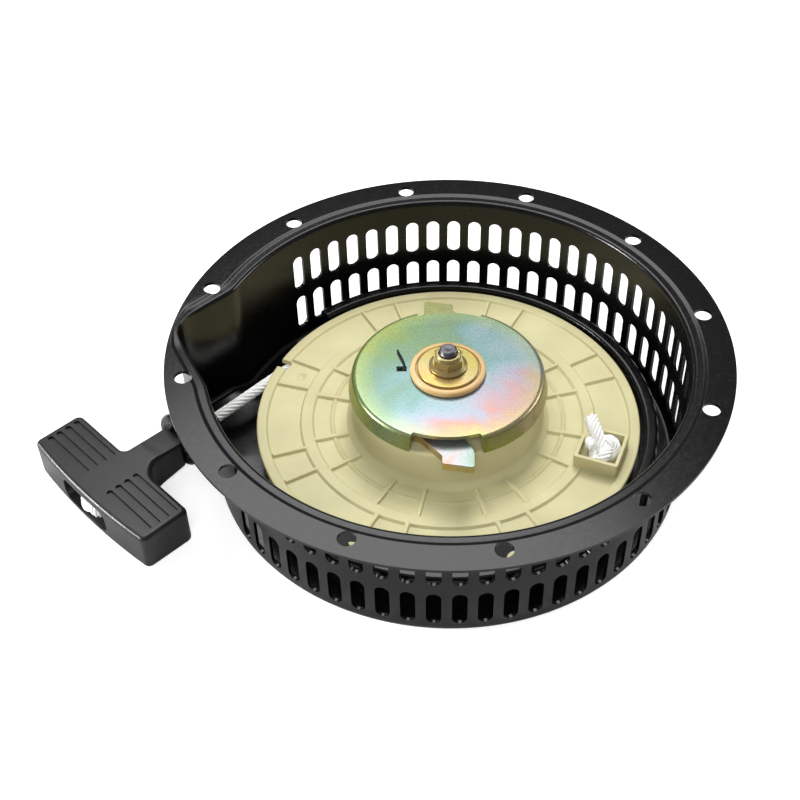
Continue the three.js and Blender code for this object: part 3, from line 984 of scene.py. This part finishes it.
def makeReel():
    web, columns = reel["web"], reel["columns"]
    profile = [(r, z, False) for r, z in rounded(reel["underside"], 3, closed=False)]
    profile += [(r / 2, web, True) for r in range(173, 97, -1)]
    profile += [(r, z, False) for r, z in rounded(reel["boss"], 4, closed=False)[:-1]]
    count = len(profile)
    points, faces = [], []
    for turn in range(columns):
        angle = 360 * turn / columns
        points += [(*polar(angle, r), z + (reelRelief(angle, r) if lifted else 0))
                   for r, z, lifted in profile]
        here, there = turn * count, ((turn + 1) % columns) * count
        faces += [(here + i, here + (i + 1) % count, there + (i + 1) % count, there + i)
                  for i in range(count)]
    body = meshPiece("reelBody", points, faces, ivoryPlastic, 50)
    notch = reel["notch"]
    cut(body, turnedBy(box("notch", notch["low"], notch["high"], ivoryPlastic), notch["angle"]))
    smoothed(body, 50)

    sizes = reel["box"]
    near, far, half, high, wall = (sizes[k] for k in ("near", "far", "half", "top", "wall"))

    def block(name, x0, x1, y, rounding, steps, low, top):
        corners = [(x0, -y, rounding), (x1, -y, rounding), (x1, y, rounding), (x0, y, rounding)]
        return slab(name, rounded(corners, steps), low, top, ivoryPlastic)

    holder = block("anchorBox", near, far, half, 1.2, 3, web - 1, high)
    cut(holder, block("hollow", near + wall, far - wall, half - wall, 0.6, 2, web + 0.6, high + 1))
    cut(holder, box("outlet", (near - 1, half - 8, web + 2), (near + 7, half + 1, high + 1), ivoryPlastic))
    bevelled(holder, 0.4, limit=50)
    foot = block("boxFoot", near - 0.8, far + 0.5, half + 0.8, 1.5, 3, web - 0.8, web + 0.45)
    bevelled(foot, 0.4, limit=50)
    both = turnedBy(joined("anchorBox", [holder, foot], ivoryPlastic), sizes["angle"])
    place(body, "reel", "ivory_plastic", "reel")
    place(both, "reel", "ivory_plastic")


makeReel()
print("reel")


# Guide, pawls and centre stack

guide = {
    "profile": ((9.4, 47.7), (42.0, 47.7, 2.0), (45.5, 40.8), (47, 40.8), (44.9, 49.2, 2.6), (38, 49.2),
                (32, 49.2), (27, 49.2), (23, 49.2), (19, 49.2), (14, 49.2), (9.4, 49.2)),
    "window": (-114.4, -72.4, 42.2),  # from, to, inner radius
    "slot": ((-24, 1.2), (-19.4, 4.6)),
    # the friction spring hugs the bush, then rises through the slot and lies on the cup
    "springRing": {"radius": 15.4, "height": 46.6, "start": 186, "step": -18, "points": 19},
    "springEnd": ((-17, -4.5, 46.6), (-19.6, 0.5, 46.6), (-20.4, 2.6, 48.2), (-20.2, 4.2, 49.9),
                  (-21.2, 8, 50.4), (-22.6, 12, 50.3), (-23.4, 14.6, 50.2)),
    "wire": 0.5,
}


def sector(name, start, end, near, far, low, high, fillet=1.2, steps=16):
    inner = [polar(start + (end - start) * k / steps, near) for k in range(steps + 1)]
    outer = [polar(end + (start - end) * k / steps, far) for k in range(steps + 1)]
    outline = [(*inner[0], fillet), *inner[1:-1], (*inner[-1], fillet), *outer]
    return slab(name, rounded(outline, 3), low, high, cupPlating)


def makeGuide():
    cup = lathe("ratchetGuide", list(guide["profile"]), cupPlating, 180, steps=6)
    start, end, near = guide["window"]
    (x0, y0), (x1, y1) = guide["slot"]
    for turn in (0, 180):
        cut(cup, turnedBy(sector("window", start, end, near, 50, 38, 52), turn))
    cut(cup, box("slot", (x0, y0, 46), (x1, y1, 51), cupPlating))
    bevelled(cup, 0.3, limit=50, angle=40)
    place(cup, "guide", "yellow_zinc", "ratchet_guide")
    ring = guide["springRing"]
    route = [(*polar(ring["start"] + ring["step"] * k, ring["radius"]), ring["height"])
             for k in range(ring["points"])]
    spring = wire("frictionSpring", route + list(guide["springEnd"]), guide["wire"], darkSteel)
    place(spring, "guide", "spring_steel", "friction_spring")


pawl = {
    "outline": ((-25.5, -31.2), (-19, -35.1, 2), (-13.6, -37.4, 3), (-4.6, -49.1, 2), (-4.8, -53.6, 1.0),
                (9.3, -56.5, 1.2), (9.8, -48.1, 6), (8.9, -44.5, 4), (6.5, -40.8, 4), (-1.5, -33, 6),
                (-12, -24, 5), (-21, -21.4)),
    "pivot": (-24.0, -26.0),
    "low": 40.3,
    "high": 44.5,
    "hub": 5.3,
    "bore": 2.6,
    "rivet": ((0.01, 35.4), (2.5, 35.4), (2.5, 46.4), (3.6, 46.4), (3.6, 47.4, 0.6), (0.01, 47.4)),
    "coil": {"radius": 3.9, "height": 45.4, "start": 20, "step": 27, "points": 12, "wire": 0.5},
    "coilEnd": ((10, -2), (15, -5)),  # from the pivot
}


def makePawls():
    x, y = pawl["pivot"]
    low, high, coil = pawl["low"], pawl["high"], pawl["coil"]
    for name, turn, plate in (("Front", 0, frontPawlPlating), ("Rear", 180, rearPawlPlating)):
        arm = slab("pawl" + name, rounded(list(pawl["outline"]), 5), low, high, plate)
        fused(arm, rod("hub", pawl["hub"], (x, y, low), (x, y, high), plate, 40))
        cut(arm, rod("bore", pawl["bore"], (x, y, low - 1), (x, y, high + 1), plate, 32))
        bevelled(arm, 0.35)
        turnedBy(arm, turn)
        place(arm, "pawl_" + name.lower(), "yellow_zinc", "pawl_" + name.lower())
        rivet = movedBy(lathe("pawlRivet" + name, list(pawl["rivet"]), steel, 32), x, y, 0)
        turnedBy(rivet, turn)
        place(rivet, "reel", "bright_steel", "pawl_rivet_" + name.lower())
        angles = [coil["start"] + coil["step"] * k for k in range(coil["points"])]
        flat = [polar(angle, coil["radius"]) for angle in angles] + list(pawl["coilEnd"])
        route = [(x + dx, y + dy, coil["height"]) for dx, dy in flat]
        spring = turnedBy(wire("pawlSpring" + name, route, coil["wire"], darkSteel), turn)
        place(spring, "reel", "spring_steel", "pawl_spring_" + name.lower())


# Turned profiles are radius, height and rounding
stack = {
    "bush": ((4.3, 47.5), (9, 47.5), (9, 49.5), (17.8, 49.5, 0.4), (17.8, 52.1, 1.6), (15.3, 52.4, 0.6),
             (14.9, 51.1), (4.3, 51.1)),
    "washer": ((4.3, 51.4), (14.4, 51.4, 0.3), (14.4, 52.9, 0.5), (4.3, 52.9)),
    "skirt": ((4.3, 53.2), (8.8, 53.2, 0.3), (9.0, 54.2, 0.4), (7.2, 55.4), (4.3, 55.4)),
    "hexagon": {"across": 13, "turn": 26, "low": 54.0, "high": 59.6},
    "crown": ((0.01, 52), (7.9, 52), (7.9, 58.6), (6.2, 59.8), (0.01, 59.8)),
    "collar": ((4.3, 58.8), (6.2, 58.8), (5.9, 61.4, 1.0), (4.6, 61.4, 0.4), (4.3, 60.8)),
    "shaft": ((0.01, 1.8), (14, 1.8), (14, 4.3, 0.6), (6.5, 4.3), (6.5, 45.6, 0.4), (4, 45.6), (4, 52)),
    "thread": {"start": 52, "pitch": 1.25, "turns": 9, "root": 3.6, "crest": 4.0},
    "shaftEnd": ((4.0, 63.3, 0.3), (3.3, 64, 0.4), (1.2, 64), (0.01, 63.7)),
}


def makeCentre():
    bush = lathe("frictionBush", list(stack["bush"]), amberNylon, 96)
    place(bush, "housing", "amber_nylon", "friction_bush")
    washer = lathe("plainWasher", list(stack["washer"]), nutPlating, 96)
    place(washer, "housing", "yellow_zinc", "plain_washer")
    skirt = lathe("nutSkirt", list(stack["skirt"]), nutPlating, 96)
    shape = stack["hexagon"]
    corners = [polar(60 * k + shape["turn"], shape["across"] / math.sqrt(3)) for k in range(6)]
    hexagon = slab("nutHexagon", corners, shape["low"], shape["high"], nutPlating)
    combine(hexagon, [lathe("crown", list(stack["crown"]), nutPlating, 64)], "INTERSECT")
    bevelled(hexagon, 0.3, limit=25)
    collar = lathe("nutCollar", list(stack["collar"]), nutPlating, 64)
    nut = joined("flangeNut", [skirt, hexagon, collar], nutPlating)
    place(nut, "housing", "yellow_zinc", "flange_nut")
    thread, profile = stack["thread"], list(stack["shaft"])
    for k in range(thread["turns"]):
        z = thread["start"] + thread["pitch"] * k
        profile += [(thread["root"], z + 0.3), (thread["crest"], z + 0.75), (thread["crest"], z + 0.95)]
    shaft = lathe("centerShaft", profile + list(stack["shaftEnd"]), studSteel, 64, angle=25)
    place(shaft, "housing", "bright_steel", "center_shaft")


makeGuide()
makePawls()
makeCentre()
print("guide, pawls and centre")


# Handle

handle = {
    "centre": 139.0,
    "half": 43.5,
    "halfWidth": 13.0,
    "bulge": 2.7,
    "low": 0.4,
    "high": 21.0,
    "start": 101.4,
    "stemHalf": 7.0,
    "corners": (2.5, 3.5, 3, 10),  # stem end, left of the grip, outer edge, right of the stem
    "edge": 2.2,
    "bore": 3.1,
    "grooveRows": (-8.2, -3.3, 1.6, 6.5),
    "grooveReach": (8.0, 40.5),
    "grooveWidth": 2.9,
    "grooveDepth": 1.1,
    "window": (-18.0, 15.5, 4.2, 17.2),  # side from, to, height from, to
    "windowCorner": 4.5,
    "windowDepth": 16.5,
}


def makeHandle():
    centre, half, width = handle["centre"], handle["half"], handle["halfWidth"]
    low, high, start, stem = handle["low"], handle["high"], handle["start"], handle["stemHalf"]
    tip, left, rim, right = handle["corners"]
    outer = []
    steps = 20
    for k in range(steps + 1):
        share = 2 * k / steps - 1
        outer.append((centre + width + handle["bulge"] * (1 - share * share), share * half))
    back = centre - width
    outline = [(start, stem, tip), (start, -stem, tip), (back, -stem - 0.5, left), (back, -half, left),
               (*outer[0], rim), *outer[2:-2], (*outer[-1], rim),
               (back, half, left), (back, stem + 0.5, right)]
    grip = softSlab("handleGrip", rounded(outline, 6), low, high, handle["edge"], gripPlastic)
    below = [(start - 2, -2), (start - 2, 5.4), (back + 1, 1.2), (back + 1, -2)]
    above = [(start - 2, 24), (start - 2, 19.8), (start + 12, 20.6), (start + 17, 21.05), (start + 17, 24)]
    for wedge in (below, above):
        cut(grip, turnedBy(slab("wedge", wedge, -20, 20, gripPlastic), 90, "X"))
    y0, y1, z0, z1 = handle["window"]
    corners = [(y, z, handle["windowCorner"]) for y, z in ((y0, z0), (y1, z0), (y1, z1), (y0, z1))]
    opening = slab("opening", rounded(corners, 6), 0, handle["windowDepth"] + 2.5, gripPlastic)
    turnedBy(turnedBy(opening, 90, "X"), 90)
    cut(grip, movedBy(opening, centre + width + handle["bulge"] - handle["windowDepth"], 0, 0))
    level = pull["handleHeight"]
    cut(grip, rod("bore", handle["bore"], (start - 1, 0, level), (centre + 2, 0, level), gripPlastic))
    wide = handle["grooveWidth"] / 2
    near, far = handle["grooveReach"]
    for side in (-1, 1):
        for row in handle["grooveRows"]:
            x0, x1 = centre + row - wide, centre + row + wide
            ends = [(x, side * y, wide * 0.98) for x, y in ((x0, near), (x1, near), (x1, far), (x0, far))]
            cut(grip, slab("groove", rounded(ends, 6), high - handle["grooveDepth"], high + 1, gripPlastic))
    bevelled(grip, 0.4, limit=55, angle=40)
    alongPull(grip)
    place(grip, "handle", "grip_plastic", "handle_grip")


makeHandle()
print("handle")


# Pieces kept from the frame

for name, material in (("recoil_spring", darkSteel), ("spring_anchor", steel), ("reel_bushing", sintered),
                       ("thrust_washer", steel)):
    nodes[name].data.materials.clear()
    nodes[name].data.materials.append(material)
